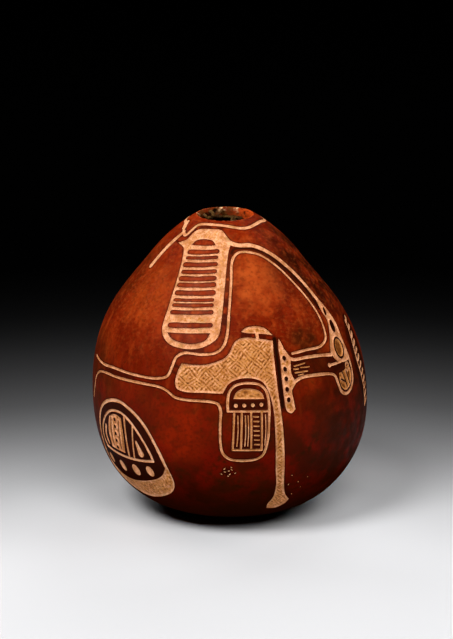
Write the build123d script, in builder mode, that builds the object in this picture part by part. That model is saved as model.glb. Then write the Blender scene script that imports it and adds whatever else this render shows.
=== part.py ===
"""Gourd rattle body: a pear-shaped calabash with a hole for a stick at its crown, and loose seeds.

The gourd stands on a small flat at its blossom end. The origin is the centre of that flat,
and +Z runs up through the middle of the hole. All sizes are in millimetres.
"""
import os
from math import acos, cos, hypot, pi, radians, sin, sqrt

from build123d import *

# Driving dimensions of the gourd
BELLY_DIAMETER = 136.4
HEIGHT = 148.0
WALL = 4.0
HOLE_DIAMETER = 24.0
FOOT_DIAMETER = 30.0
RIM_ROLL = 1.5
CROWN_SLOPE = 32.0
FOOT_SLOPE = 6.0

# The skin's curve between the foot and the rim, as (share of belly radius, share of height)
SKIN_SHARES = [
    (0.598, 0.035),
    (0.828, 0.12),
    (0.967, 0.25),
    (1.0, 0.40),
    (0.956, 0.55),
    (0.809, 0.70),
    (0.574, 0.84),
    (0.403, 0.93),
    (0.270, 0.98),
]

# Driving dimensions of the seeds, each (across, thick), used in turn
SEED_SIZES = [(7.4, 6.4), (6.8, 6.0), (6.2, 5.6)]
SEED_COUNT = 24
SEED_POLE_RADIUS = 0.6
SEED_SPREAD = 4.9
SEED_GAP = 0.2
GOLDEN_ANGLE = 137.508
HOP_CLEARANCE = 1.0

# Worked out from the driving dimensions
belly_radius = BELLY_DIAMETER / 2
hole_radius = HOLE_DIAMETER / 2
rim_radius = hole_radius + RIM_ROLL
bore_top = HEIGHT - RIM_ROLL
throat = HEIGHT - WALL / cos(radians(CROWN_SLOPE))
foot_direction = (cos(radians(FOOT_SLOPE)), sin(radians(FOOT_SLOPE)))
crown_direction = (-cos(radians(CROWN_SLOPE)), sin(radians(CROWN_SLOPE)))
under_crown_direction = (cos(radians(CROWN_SLOPE)), -sin(radians(CROWN_SLOPE)))
inner_foot_direction = (-cos(radians(FOOT_SLOPE)), -sin(radians(FOOT_SLOPE)))

skin_points = [(FOOT_DIAMETER / 2, 0)]
skin_points += [(belly_radius * share, HEIGHT * rise) for share, rise in SKIN_SHARES]
skin_points += [(rim_radius, HEIGHT)]


# Gourd shell: the skin's curve and the same curve set inwards by the wall, turned about Z
with BuildPart() as gourd_shell:
    with BuildSketch(Plane.XZ):
        with BuildLine():
            foot = Line((0, 0), skin_points[0])
            skin = Spline(*skin_points, tangents=[foot_direction, crown_direction])
            lip_middle = (rim_radius - RIM_ROLL * sin(pi / 4), bore_top + RIM_ROLL * sin(pi / 4))
            lip = ThreePointArc(skin @ 1, lip_middle, (hole_radius, bore_top))
            bore = Line(lip @ 1, (hole_radius, throat))
            inner_points = [bore @ 1]
            for share in [0.92, 0.86, 0.79, 0.71, 0.63, 0.55, 0.47, 0.39, 0.31, 0.23, 0.15, 0.07]:
                along = skin % share
                inner_points.append((skin @ share) + Vector(-along.Y, along.X) * WALL)
            inner_points.append((FOOT_DIAMETER / 2, WALL))
            cavity = Spline(*inner_points, tangents=[under_crown_direction, inner_foot_direction])
            Polyline(cavity @ 1, (0, WALL), foot @ 0)
        make_face()
    revolve(axis=Axis.Z)
gourd_shell.part.label = "gourd_shell"

os.makedirs("parts", exist_ok=True)
export_step(gourd_shell.part, "parts/gourd_shell.step")


# The cavity's lower and upper curves, each read from near the axis outwards
curve_steps = 400
cavity_points = [cavity @ (step / curve_steps) for step in range(curve_steps + 1)]
widest = max(range(curve_steps + 1), key=lambda step: cavity_points[step].X)
ceiling_points = cavity_points[:widest]
floor_points = cavity_points[:widest:-1]


def curve_height(points, radius):
    """Height of one of the cavity's curves at a distance from the axis."""
    if radius <= points[0].X:
        return points[0].Y
    for near, far in zip(points, points[1:]):
        if radius <= far.X:
            return near.Y + (far.Y - near.Y) * (radius - near.X) / (far.X - near.X)
    raise ValueError("outside the cavity")


def seed_rings(x, y, across, thick):
    """Points all over a seed, as (distance from the gourd's axis, half the thickness there)."""
    rings, spokes = 12, 16
    for ring in range(rings + 1):
        share = sin(pi / 2 * ring / rings)
        half_thick = thick / 2 * sqrt(1 - share * share)
        for spoke in range(spokes):
            turn = 2 * pi * spoke / spokes
            reach = across / 2 * share
            yield hypot(x + reach * cos(turn), y + reach * sin(turn)), half_thick


# Seeds: flattened balls with a small flat at each pole, in one layer on the gourd's floor,
# set out in a sunflower's spiral
for number in range(1, SEED_COUNT + 1):
    across, thick = SEED_SIZES[number % len(SEED_SIZES)]
    spiral_radius = SEED_SPREAD * sqrt(number - 0.5)
    spiral_turn = radians(GOLDEN_ANGLE * number)
    x = spiral_radius * cos(spiral_turn)
    y = spiral_radius * sin(spiral_turn)
    rings = list(seed_rings(x, y, across, thick))
    seat = max(curve_height(floor_points, radius) + half for radius, half in rings) + SEED_GAP
    roof = min(curve_height(ceiling_points, radius) - half for radius, half in rings)

    with BuildPart() as seed:
        with BuildSketch(Plane((x, y, seat), x_dir=(1, 0, 0), z_dir=(0, -1, 0))):
            with BuildLine():
                pole = acos(SEED_POLE_RADIUS / (across / 2))
                turns = [pole * share for share in (-1, -0.6, -0.2, 0.2, 0.6, 1)]
                side = Spline(*[(across / 2 * cos(turn), thick / 2 * sin(turn)) for turn in turns])
                Polyline(side @ 1, (0, (side @ 1).Y), (0, (side @ 0).Y), side @ 0)
            make_face()
        revolve(axis=Axis((x, y, seat), (0, 0, 1)))
    seed.part.label = f"seed_{number:02d}"
    export_step(seed.part, f"parts/{seed.part.label}.step")

    hop = roof - seat - HOP_CLEARANCE
    print(f"{seed.part.label} at {x:.2f}, {y:.2f}, {seat:.2f} hops {hop:.1f}")
print(f"bore wall from {throat:.2f} to {bore_top:.2f}")
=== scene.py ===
"""Looks of the engraved gourd rattle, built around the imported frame.

The skin is laid out flat as (degrees around, millimetres up the skin from the middle of the foot),
the way an engraver would mark it. Degrees run from 0 at the front (-Y) to the right (+X).
The engraved design is drawn once, and cut twice: for the front and for the back.
"""

from math import ceil, cos, hypot, pi, radians, sin, sqrt

import bmesh
import bpy
import numpy as np
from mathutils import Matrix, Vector, kdtree, noise
from mathutils.geometry import delaunay_2d_cdt


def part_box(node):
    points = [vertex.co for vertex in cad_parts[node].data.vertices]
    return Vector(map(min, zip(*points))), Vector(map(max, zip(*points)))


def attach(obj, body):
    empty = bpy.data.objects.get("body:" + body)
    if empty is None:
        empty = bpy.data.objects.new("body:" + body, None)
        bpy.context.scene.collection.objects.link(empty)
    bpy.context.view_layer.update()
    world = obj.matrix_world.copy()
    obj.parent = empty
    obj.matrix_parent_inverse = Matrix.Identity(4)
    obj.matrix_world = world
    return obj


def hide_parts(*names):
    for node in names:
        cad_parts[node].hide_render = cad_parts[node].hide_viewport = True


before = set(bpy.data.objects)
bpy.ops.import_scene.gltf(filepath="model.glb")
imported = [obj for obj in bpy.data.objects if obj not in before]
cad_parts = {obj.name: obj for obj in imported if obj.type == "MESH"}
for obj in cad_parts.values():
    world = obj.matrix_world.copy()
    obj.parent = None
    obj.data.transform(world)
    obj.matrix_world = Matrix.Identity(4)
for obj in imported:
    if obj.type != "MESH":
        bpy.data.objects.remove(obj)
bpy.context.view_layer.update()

MM = 0.001

# Camera: how it looks at the gourd
LENS_MM = 150
SENSOR_MM = 36
CAMERA_ELEVATION = radians(16.5)
CAMERA_DISTANCE = 1.3217
CAMERA_CENTRE = Vector((0, 0, 0.075))
CAMERA_AIM = Vector((-0.0003, 0, 0.0939))

# Where the softboxes point
LIT_MIDDLE = Vector((0, 0, 0.07))

# How the grown gourd differs from its turned CAD shell, in millimetres
FOOT_SHIFT = 2.0
CROWN_SHIFT = -1.0
LEAN_FROM = 30.0
LEAN_TO = 125.0
LUMP = 0.45
LUMP_SIZE = 45.0
LUMPS_START = 15.0
LUMPS_END = 145.0
LUMPS_FADE = 20.0

# Engraving, in millimetres
CUT_DEPTH = 0.5
CUT_SLOPE = 0.5
HATCH_DEPTH = 0.14
HATCH_PITCH = 2.1
BASKET_CELL = 4.2
CLEAN_BORDER = 0.8
SKIN_STEP = 1.8
ISLAND_STEP = 1.1
FILL_STEP = 0.5
OUTLINE_STEP = 0.8
OVAL_STEP = 0.6

# How brown the bared flesh is, from 0, clean, to 1, rind: in a plain stroke and on the lip of a cut
CLEAN = 0.08
LIP_MARK = 0.16
# The same in each kind of hatching: its middle, how far its waves swing, and how far its specks do
HATCHES = {"basket": (0.44, 0.36, 0.5), "scraped": (0.62, 0, 0.7), "grain": (0.18, 0.12, 0.5),
           "worn": (0.85, 0, 0.9), "dark": (0.95, 0, 0.3), "stipple": (0.42, 0, 0.8)}
# Radius in millimetres at which the hatching has its true size
HATCH_RADIUS = 62

# How unsteady a stroke's width is, as a share of it, and how fast that changes round and up the gourd
STROKE_WOBBLE = 0.2
WOBBLE_ROUND = 4.5
WOBBLE_UP = 0.225

SIDE_TEETH = 12

# The flat layout's seam, where neither half of the design reaches, and its scale
SEAM = -82.0
FLAT_RADIUS = 68.0
RIM_COLUMNS = 180
FOOT_COLUMNS = 45
FOOT_START = 8.0

# Where the skin is redder or darker: degrees round, millimetres up, reach, strength and colour.
# They were matched to one view in one light. The near-black ones at 90 and 66 degrees are painted shade,
# the bright red one at 19 degrees is a painted highlight, and the rest are partly the rind's colour and
# partly painted light and shade.
SKIN_PATCHES_AND_PAINTED_LIGHT = [
    (19, 178, 20, 0.8, (0.46, 0.072, 0.010)),
    (-48, 168, 24, 0.5, (0.34, 0.045, 0.004)),
    (90, 176, 48, 0.95, (0.016, 0.002, 0.0003)),
    (40, 143.5, 14, 0.85, (0.030, 0.006, 0.001)),
    (66, 98, 56, 0.9, (0.028, 0.004, 0.0004)),
    (-76, 118, 30, 0.7, (0.06, 0.010, 0.001)),
    (8, 62, 30, 0.5, (0.045, 0.010, 0.001)),
    (-21, 101, 20, 0.75, (0.24, 0.011, 0.0004)),
    (205, 165, 32, 0.7, (0.40, 0.065, 0.008)),
    (268, 170, 30, 0.7, (0.06, 0.010, 0.001)),
    (150, 80, 30, 0.6, (0.045, 0.010, 0.001)),
]

# Hole at the crown, in millimetres
NEAR_DIP = 0.9
CHIP = 1.1
BREAK_ROUGH = 0.35
# Pits in the wall of the hole: degrees round, height and reach
PITS = [(-157, 146.0, 1.7), (-131, 143.8, 2.2), (-159, 142.8, 1.8), (131, 145.9, 1.1), (-106, 145.2, 1.3),
        (30, 144.5, 1.5), (-30, 145, 1.4), (80, 143.6, 1.6)]
PIT_DEPTH = 1.3
# Where the rind chipped off the edge of the hole: degrees round and half width in degrees
CHIPS = [(-172, 12), (153, 9), (-98, 7), (66, 6), (14, 5)]
# Rings down the broken edge, as shares of the way inward and downward, and the highest that it may reach
BREAK_RINGS = [(0.12, 0.02), (0.35, 0.12), (0.62, 0.34), (0.85, 0.6), (1.0, 0.85)]
BREAK_TOP = 147.95
WALL_RINGS = 8
CAVITY_RINGS = 64
FLOOR_RADII = [12.0, 8.0, 4.0]
# Rings of the flower's scar in the foot: radius, height and stain
FOOT_RINGS = [(6.0, 0.05, 0.0), (4.6, 0.35, 0.3), (3.6, 0.75, 0.8), (2.4, 0.6, 1.0), (1.2, 0.85, 1.0)]
SCAR_HEIGHT = 0.95

# The floor: a painted pool of light round the gourd, with painted shade out to black beyond it.
# Where the pool has its middle, how far it reaches, and its shades on the way out to black,
# with both ends first
POOL_CENTRE = (0.0, -0.22, 0.0)
POOL_REACH = 0.7
POOL_SHADES = [(0.0, 0.54), (1.0, 0.0), (0.2, 0.59), (0.27, 0.61), (0.36, 0.40), (0.46, 0.150), (0.56, 0.043),
               (0.7, 0.009), (0.82, 0.0015)]
FLOOR_HALF = 4.0


# ---------------------------------------------------------------- camera, floor and light
def make_camera():
    data = bpy.data.cameras.new("camera")
    data.lens = LENS_MM
    data.sensor_width = SENSOR_MM
    data.clip_end = 20
    camera = bpy.data.objects.new("camera", data)
    bpy.context.scene.collection.objects.link(camera)
    back = Vector((0, -cos(CAMERA_ELEVATION), sin(CAMERA_ELEVATION)))
    camera.location = CAMERA_CENTRE + back * CAMERA_DISTANCE
    camera.rotation_euler = (CAMERA_AIM - camera.location).to_track_quat("-Z", "Y").to_euler()
    bpy.context.scene.camera = camera


def make_light(name, place, size, power, mirrored=False):
    """A round softbox aimed at the gourd. Only a mirrored one shows as a highlight."""
    data = bpy.data.lights.new(name, "AREA")
    data.shape = "DISK"
    data.size = size
    data.energy = power
    light = bpy.data.objects.new(name, data)
    light.location = place
    light.rotation_euler = (LIT_MIDDLE - Vector(place)).to_track_quat("-Z", "Y").to_euler()
    light.visible_glossy = mirrored
    bpy.context.scene.collection.objects.link(light)


def make_lights():
    make_light("key", (-0.55, -0.6, 1.1), 0.5, 15, mirrored=True)
    make_light("front_fill", (0.3, -0.75, 1.05), 0.7, 8.5)
    make_light("right_fill", (0.95, 0.1, 0.85), 0.8, 5)
    make_light("left_back_fill", (-0.75, 0.75, 0.85), 0.8, 5)
    make_light("right_back_fill", (0.4, 0.95, 0.85), 0.8, 5)
    world = bpy.data.worlds.new("studio")
    world.use_nodes = True
    world.node_tree.nodes["Background"].inputs["Color"].default_value = (0.0004, 0.0004, 0.0005, 1)
    bpy.context.scene.world = world
    bpy.context.scene.view_settings.view_transform = "Standard"


# ---------------------------------------------------------------- materials
class Paint:
    """A procedural material, built node by node round its Principled shader."""

    def __init__(self, name, **sockets):
        self.material = bpy.data.materials.new(name)
        self.material.use_nodes = True
        self.tree = self.material.node_tree
        self.shader = self.tree.nodes["Principled BSDF"]
        for socket, value in sockets.items():
            self.shader.inputs[socket.replace("_", " ")].default_value = value
        self.place = self.tree.nodes.new("ShaderNodeTexCoord").outputs["Object"]

    def link(self, start, end):
        self.tree.links.new(start, end)

    def attribute(self, name):
        node = self.tree.nodes.new("ShaderNodeAttribute")
        node.attribute_name = name
        return node.outputs["Fac"]

    def height(self):
        split = self.tree.nodes.new("ShaderNodeSeparateXYZ")
        self.link(self.place, split.inputs[0])
        return split.outputs["Z"]

    def noise(self, size_mm, detail=4.0, stretch=(1, 1, 1)):
        """Cloudy values from 0 to 1, with clouds of about the size given."""
        mapping = self.tree.nodes.new("ShaderNodeMapping")
        mapping.inputs["Scale"].default_value = stretch
        self.link(self.place, mapping.inputs["Vector"])
        node = self.tree.nodes.new("ShaderNodeTexNoise")
        node.inputs["Scale"].default_value = 1 / (size_mm * MM)
        node.inputs["Detail"].default_value = detail
        self.link(mapping.outputs["Vector"], node.inputs["Vector"])
        return node.outputs["Fac"]

    def spread(self, value, low, high, to_low=0.0, to_high=1.0):
        """Maps low..high to to_low..to_high, smoothly and without going past the ends."""
        node = self.tree.nodes.new("ShaderNodeMapRange")
        node.interpolation_type = "SMOOTHSTEP"
        for socket, number in zip(("From Min", "From Max", "To Min", "To Max"), (low, high, to_low, to_high)):
            node.inputs[socket].default_value = number
        self.link(value, node.inputs["Value"])
        return node.outputs["Result"]

    def cloud(self, size_mm, low, high, to_low=0.0, to_high=1.0, detail=4.0, stretch=(1, 1, 1)):
        """Clouds of a size, spread from low..high to to_low..to_high."""
        return self.spread(self.noise(size_mm, detail, stretch), low, high, to_low, to_high)

    def times(self, first, second):
        node = self.tree.nodes.new("ShaderNodeMath")
        node.operation = "MULTIPLY"
        self.link(first, node.inputs[0])
        self.link(second, node.inputs[1])
        return node.outputs["Value"]

    def near(self, centre, reach, strength):
        """Strength at a place, fading to nothing at a reach from it."""
        node = self.tree.nodes.new("ShaderNodeVectorMath")
        node.operation = "DISTANCE"
        self.link(self.place, node.inputs[0])
        node.inputs[1].default_value = centre
        return self.spread(node.outputs["Value"], reach * 0.35, reach, strength, 0)

    def mix(self, share, first, second):
        """Colour first, turning into second as share goes from 0 to 1."""
        node = self.tree.nodes.new("ShaderNodeMix")
        node.data_type = "RGBA"
        self.link(share, node.inputs["Factor"])
        for socket, colour in ((node.inputs[6], first), (node.inputs[7], second)):
            if isinstance(colour, tuple):
                socket.default_value = (*colour, 1)
            else:
                self.link(colour, socket)
        return node.outputs[2]

    def finish(self, colour, roughness=None, bump=None, bump_mm=0.05):
        self.link(colour, self.shader.inputs["Base Color"])
        if roughness is not None:
            self.link(roughness, self.shader.inputs["Roughness"])
        if bump is not None:
            node = self.tree.nodes.new("ShaderNodeBump")
            node.inputs["Distance"].default_value = bump_mm * MM
            self.link(bump, node.inputs["Height"])
            self.link(node.outputs["Normal"], self.shader.inputs["Normal"])
        return self.material


def skin_paint():
    """Polished red-brown rind: warm and grained above, dark and mottled below.

    The dark below is partly the rind's own colour and partly painted shade. Near the foot and beside
    the cuts the skin is painted shade, nearly black, and some patches are painted light and shade.
    """
    paint = Paint("gourd_skin", Specular_Tint=(1.0, 0.5, 0.28, 1))
    warm = paint.mix(paint.cloud(20, 0.38, 0.66), (0.15, 0.008, 0.0005),
                     (0.245, 0.018, 0.0014))
    warm = paint.mix(paint.cloud(5, 0.5, 0.72, 0, 0.6, detail=6, stretch=(1, 1, 0.2)), warm,
                     (0.38, 0.045, 0.005))
    warm = paint.mix(paint.cloud(6, 0.5, 0.74, 0, 0.7, detail=6, stretch=(1, 1, 0.3)), warm,
                     (0.10, 0.006, 0.0006))
    deep = paint.mix(paint.cloud(14, 0.4, 0.62), (0.125, 0.0035, 0.0002),
                     (0.055, 0.0038, 0.0002))
    mottle = paint.cloud(4.5, 0.47, 0.68, detail=7)
    deep = paint.mix(paint.times(mottle, paint.cloud(18, 0.4, 0.6, detail=3)), deep,
                     (0.030, 0.006, 0.0003))
    # Darker below: partly the rind's own colour, partly painted shade of the underside
    body = paint.mix(paint.spread(paint.height(), 0.04, 0.105), deep, warm)
    # Patches of the rind's colour, of painted shade and a painted highlight, as listed above
    for degrees, up, reach, strength, colour in SKIN_PATCHES_AND_PAINTED_LIGHT:
        centre = skin_places(flat([(degrees, up)]), 0)[0] * MM
        cloud = paint.cloud(7, 0.3, 0.62, 0.25, 1, detail=5)
        body = paint.mix(paint.times(paint.near(centre, reach * MM, strength), cloud), body, colour)
    grain = paint.times(paint.cloud(2.2, 0.46, 0.72, 0, 0.28, detail=5, stretch=(1, 1, 1.6)),
                        paint.spread(paint.height(), 0.075, 0.11))
    body = paint.mix(grain, body, (0.42, 0.075, 0.012))
    fine = paint.cloud(1.7, 0.46, 0.68, 0, 0.36, detail=7)
    body = paint.mix(fine, body, (0.045, 0.004, 0.0003))
    # Painted shade: nearly black low down near the foot, fading out by 42 mm up
    body = paint.mix(paint.spread(paint.height(), 0.010, 0.042, 0.93, 0), body, (0.013, 0.002, 0.0001))
    # Dark stains, with painted shade in one strip of skin beside the big hatched shape
    body = paint.mix(paint.attribute("stain"), body, (0.013, 0.0022, 0.0004))
    # Painted shade: skin nearly black within about a millimetre of each cut's edge
    body = paint.mix(paint.spread(paint.attribute("edge"), 0.0, 1.1, 0.72, 0), body, (0.022, 0.0016, 0.0002))
    shine = paint.spread(paint.height(), 0.025, 0.10, 0.0, 0.15)
    paint.link(shine, paint.shader.inputs["Specular IOR Level"])
    roughness = paint.cloud(5, 0.3, 0.7, 0.40, 0.60, detail=6)
    return paint.finish(body, roughness, paint.noise(1.5, 6), 0.09)


def flesh_paint():
    """Flesh laid bare by the tool: palest in fresh strokes, tan where worn, brown where rind is left."""
    paint = Paint("cut_flesh", Specular_IOR_Level=0.2, Specular_Tint=(1.0, 0.8, 0.6, 1))
    pale = paint.mix(paint.cloud(3.5, 0.36, 0.6, detail=5), (0.54, 0.205, 0.080), (0.85, 0.39, 0.195))
    pale = paint.mix(paint.cloud(5, 0.56, 0.7, 0, 0.45, detail=3), pale, (0.42, 0.26, 0.09))
    tan = paint.mix(paint.cloud(4, 0.4, 0.6), (0.50, 0.175, 0.035), (0.64, 0.25, 0.06))
    brown = paint.mix(paint.cloud(3, 0.4, 0.6), (0.09, 0.018, 0.002), (0.15, 0.04, 0.005))
    colour = paint.mix(paint.spread(paint.attribute("mark"), 0.08, 0.45), pale, tan)
    colour = paint.mix(paint.spread(paint.attribute("mark"), 0.35, 0.95), colour, brown)
    fibres = paint.cloud(0.9, 0.42, 0.66, 0, 0.45, detail=3)
    colour = paint.mix(fibres, colour, (0.32, 0.09, 0.015))
    colour = paint.mix(paint.spread(paint.attribute("mark"), 0.0, 0.09, 0.9, 0), colour, (0.88, 0.49, 0.30))
    roughness = paint.cloud(3, 0.3, 0.7, 0.62, 0.8)
    return paint.finish(colour, roughness, paint.noise(0.7, 4), 0.15)


def break_paint():
    """The broken edge of the hole: red on its right side as painted light, brown elsewhere, black in pits
    as painted shade, pale where chipped.
    """
    paint = Paint("broken_edge", Specular_IOR_Level=0.06)
    brown = paint.mix(paint.cloud(4, 0.42, 0.6), (0.12, 0.014, 0.002), (0.085, 0.026, 0.004))
    # Painted light: red on the right side of the wall of the hole, where the key light falls
    colour = paint.mix(paint.attribute("edge"), brown, (0.42, 0.046, 0.004))
    colour = paint.mix(paint.cloud(1.6, 0.54, 0.66, 0, 0.7, detail=4), colour, (0.05, 0.014, 0.002))
    # Painted shade: black in the pits of the wall
    colour = paint.mix(paint.attribute("stain"), colour, (0.006, 0.003, 0.001))
    crumbs = paint.cloud(1.4, 0.42, 0.56, detail=3)
    colour = paint.mix(paint.times(crumbs, paint.attribute("mark")), colour, (0.70, 0.42, 0.20))
    roughness = paint.cloud(2, 0.3, 0.7, 0.65, 0.85)
    return paint.finish(colour, roughness, paint.noise(0.8, 5), 0.3)


def pith_paint():
    """Dry pith inside the shell and the threads of it that hang in the hole."""
    paint = Paint("pith", Specular_IOR_Level=0.15)
    colour = paint.mix(paint.cloud(6, 0.4, 0.6), (0.06, 0.022, 0.005), (0.12, 0.058, 0.014))
    colour = paint.mix(paint.cloud(1.2, 0.5, 0.7, detail=3), colour, (0.05, 0.022, 0.008))
    roughness = paint.cloud(2, 0.3, 0.7, 0.75, 0.95)
    return paint.finish(colour, roughness, paint.noise(1.1, 6), 0.4)


def seed_paint():
    """Hard dark seeds, brown where the light catches them and dusty in the pores."""
    paint = Paint("seed_coat", Coat_Weight=0.15, Coat_Roughness=0.35)
    colour = paint.mix(paint.cloud(2, 0.4, 0.62), (0.018, 0.009, 0.006), (0.05, 0.022, 0.011))
    colour = paint.mix(paint.attribute("mark"), colour, (0.21, 0.125, 0.06))
    roughness = paint.cloud(0.8, 0.3, 0.7, 0.38, 0.6)
    return paint.finish(colour, roughness, paint.noise(0.5, 4), 0.06)


def floor_paint():
    """A floor with a painted pool of light round the gourd, and painted shade, to black, away from it."""
    paint = Paint("floor", Specular_IOR_Level=0.0)
    paint.shader.inputs["Roughness"].default_value = 0.7
    centre = paint.tree.nodes.new("ShaderNodeVectorMath")
    centre.operation = "SUBTRACT"
    centre.inputs[1].default_value = POOL_CENTRE
    length = paint.tree.nodes.new("ShaderNodeVectorMath")
    length.operation = "LENGTH"
    paint.link(paint.place, centre.inputs[0])
    paint.link(centre.outputs["Vector"], length.inputs[0])
    reach = paint.tree.nodes.new("ShaderNodeMapRange")
    reach.inputs["From Max"].default_value = POOL_REACH
    paint.link(length.outputs["Value"], reach.inputs["Value"])
    ramp = paint.tree.nodes.new("ShaderNodeValToRGB")
    steps = ramp.color_ramp
    steps.interpolation = "B_SPLINE"
    for index, (place, value) in enumerate(POOL_SHADES):
        stop = steps.elements[index] if index < 2 else steps.elements.new(place)
        stop.position = place
        stop.color = (value, value, value * 1.02, 1)
    paint.link(reach.outputs["Result"], ramp.inputs["Fac"])
    return paint.finish(ramp.outputs["Color"])


def make_floor():
    mesh = bpy.data.meshes.new("floor")
    half = FLOOR_HALF
    corners = [(-half, -half, 0), (half, -half, 0), (half, half, 0), (-half, half, 0)]
    mesh.from_pydata(corners, [], [(0, 1, 2, 3)])
    mesh.materials.append(floor_paint())
    floor = bpy.data.objects.new("floor", mesh)
    bpy.context.scene.collection.objects.link(floor)


# ---------------------------------------------------------------- the gourd's curves
class Curve:
    """A smooth curve through points, by cubic splines over its length."""

    def __init__(self, points):
        self.points = np.array(points, float)
        runs = np.hypot(*np.diff(self.points, axis=0).T)
        self.length = np.concatenate([[0], np.cumsum(runs)])
        self.bends = [self.second_derivatives(column) for column in self.points.T]

    def second_derivatives(self, values):
        count = len(values)
        step = np.diff(self.length)
        matrix = np.eye(count)
        right = np.zeros(count)
        for row in range(1, count - 1):
            matrix[row, row - 1] = step[row - 1]
            matrix[row, row] = 2 * (step[row - 1] + step[row])
            matrix[row, row + 1] = step[row]
            rise = (values[row + 1] - values[row]) / step[row]
            fall = (values[row] - values[row - 1]) / step[row - 1]
            right[row] = 6 * (rise - fall)
        return np.linalg.solve(matrix, right)

    def at(self, along):
        """Points of the curve at lengths along it."""
        along = np.clip(np.asarray(along, float), 0, self.length[-1])
        low = np.clip(np.searchsorted(self.length, along, side="right") - 1, 0, len(self.length) - 2)
        step = self.length[low + 1] - self.length[low]
        far = (along - self.length[low]) / step
        near = 1 - far
        columns = []
        for values, bend in zip(self.points.T, self.bends):
            curve = ((near**3 - near) * bend[low] + (far**3 - far) * bend[low + 1]) * step**2 / 6
            columns.append(near * values[low] + far * values[low + 1] + curve)
        return np.stack(columns, -1)


def cad_curves():
    """The CAD shell's skin and cavity curves, foot first, as (radius, height) in millimetres."""
    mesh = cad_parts["gourd_shell"].data
    places = np.zeros(len(mesh.vertices) * 3)
    mesh.vertices.foreach_get("co", places)
    places = places.reshape(-1, 3) / MM
    radius = np.hypot(places[:, 0], places[:, 1])
    height = places[:, 2]
    top = height.max()
    hole = radius[(height > top - 4) & (radius > 1)].min()
    crown = (radius[height > top - 0.01].max(), top)
    foot = (radius[height < 0.01].max(), 0.0)
    bore_end = (hole, height[radius < hole + 0.01][height[radius < hole + 0.01] > top / 2].min())
    middle = top * 0.4
    turn = np.arctan2(height - middle, radius)
    reach = np.hypot(radius, height - middle)
    bed = (foot[0], height[(radius < foot[0] + 1) & (height > 1)].min())
    skin, cavity = [foot], [bed]
    for goal in np.linspace(-pi / 2, pi / 2, 46):
        near = np.abs(turn - goal) < 0.035
        if not near.any():
            continue
        for knots, edge, first, last in ((skin, reach[near].max(), foot[0] + 2, crown[0] + 2),
                                         (cavity, reach[near].min(), foot[0] + 2, hole + 2)):
            same = near & (np.abs(reach - edge) < 1.5)
            best = np.argmin(np.where(same, np.abs(turn - goal), 9))
            limit = first if goal < 0 else last
            if radius[best] > limit:
                knots.append((radius[best], height[best]))
    skin.append(crown)
    cavity.append(bore_end)
    return skin, cavity, hole


skin_knots, cavity_knots, HOLE_RADIUS = cad_curves()
FOOT_EDGE = skin_knots[0][0]
SKIN = Curve(skin_knots)
CAVITY = Curve(cavity_knots)
SKIN_END = FOOT_EDGE + SKIN.length[-1]
FLOOR_OF_CAVITY = cavity_knots[0][1]

# The skin curve as a table: how far up the skin, radius, height, flat height and slope
up_table = np.linspace(FOOT_START, SKIN_END, 900)
radius_table = np.where(up_table < FOOT_EDGE, up_table, SKIN.at(up_table - FOOT_EDGE)[:, 0])
height_table = np.where(up_table < FOOT_EDGE, 0, SKIN.at(up_table - FOOT_EDGE)[:, 1])
flat_steps = np.diff(up_table) * FLAT_RADIUS * (1 / radius_table[1:] + 1 / radius_table[:-1]) / 2
flat_table = np.concatenate([[0], np.cumsum(flat_steps)])
radius_slope = np.gradient(radius_table, up_table)
height_slope = np.gradient(height_table, up_table)


def flat(points):
    """Flat places of (degrees, millimetres up the skin) points. Angles stay true there."""
    degrees, up = np.array(points, float).T
    return np.stack([np.radians(degrees) * FLAT_RADIUS, np.interp(up, up_table, flat_table)], 1)


def scale(flat_height):
    """Millimetres on the skin for one unit of the flat layout."""
    return np.interp(flat_height, flat_table, radius_table) / FLAT_RADIUS


def lean(height):
    """How far the grown gourd stands to the right of the turned one."""
    share = np.clip((height - LEAN_FROM) / (LEAN_TO - LEAN_FROM), 0, 1)
    return FOOT_SHIFT + (CROWN_SHIFT - FOOT_SHIFT) * share * share * (3 - 2 * share)


def lumps(places):
    """Small swellings of the grown shell, none at the foot or the rim."""
    raw = np.array([noise.noise(Vector(place) / LUMP_SIZE) for place in places])
    calm = np.clip(places[:, 2] / LUMPS_START, 0, 1)
    calm *= np.clip((LUMPS_END - places[:, 2]) / LUMPS_FADE, 0, 1)
    return LUMP * raw * calm


def skin_places(flat_points, depth):
    """Places of flat points in space, in millimetres, sunk by a depth into the skin."""
    angle = flat_points[:, 0] / FLAT_RADIUS
    radius = np.interp(flat_points[:, 1], flat_table, radius_table)
    height = np.interp(flat_points[:, 1], flat_table, height_table)
    outward = np.interp(flat_points[:, 1], flat_table, height_slope)
    upward = -np.interp(flat_points[:, 1], flat_table, radius_slope)
    base = np.stack([radius * np.sin(angle), -radius * np.cos(angle), height], 1)
    lift = lumps(base) - depth
    radius = radius + outward * lift
    height = np.maximum(height + upward * lift, 0)
    return np.stack([radius * np.sin(angle) + lean(height), -radius * np.cos(angle), height], 1)


# ---------------------------------------------------------------- drawing marks on the flat skin
design = []


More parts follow.
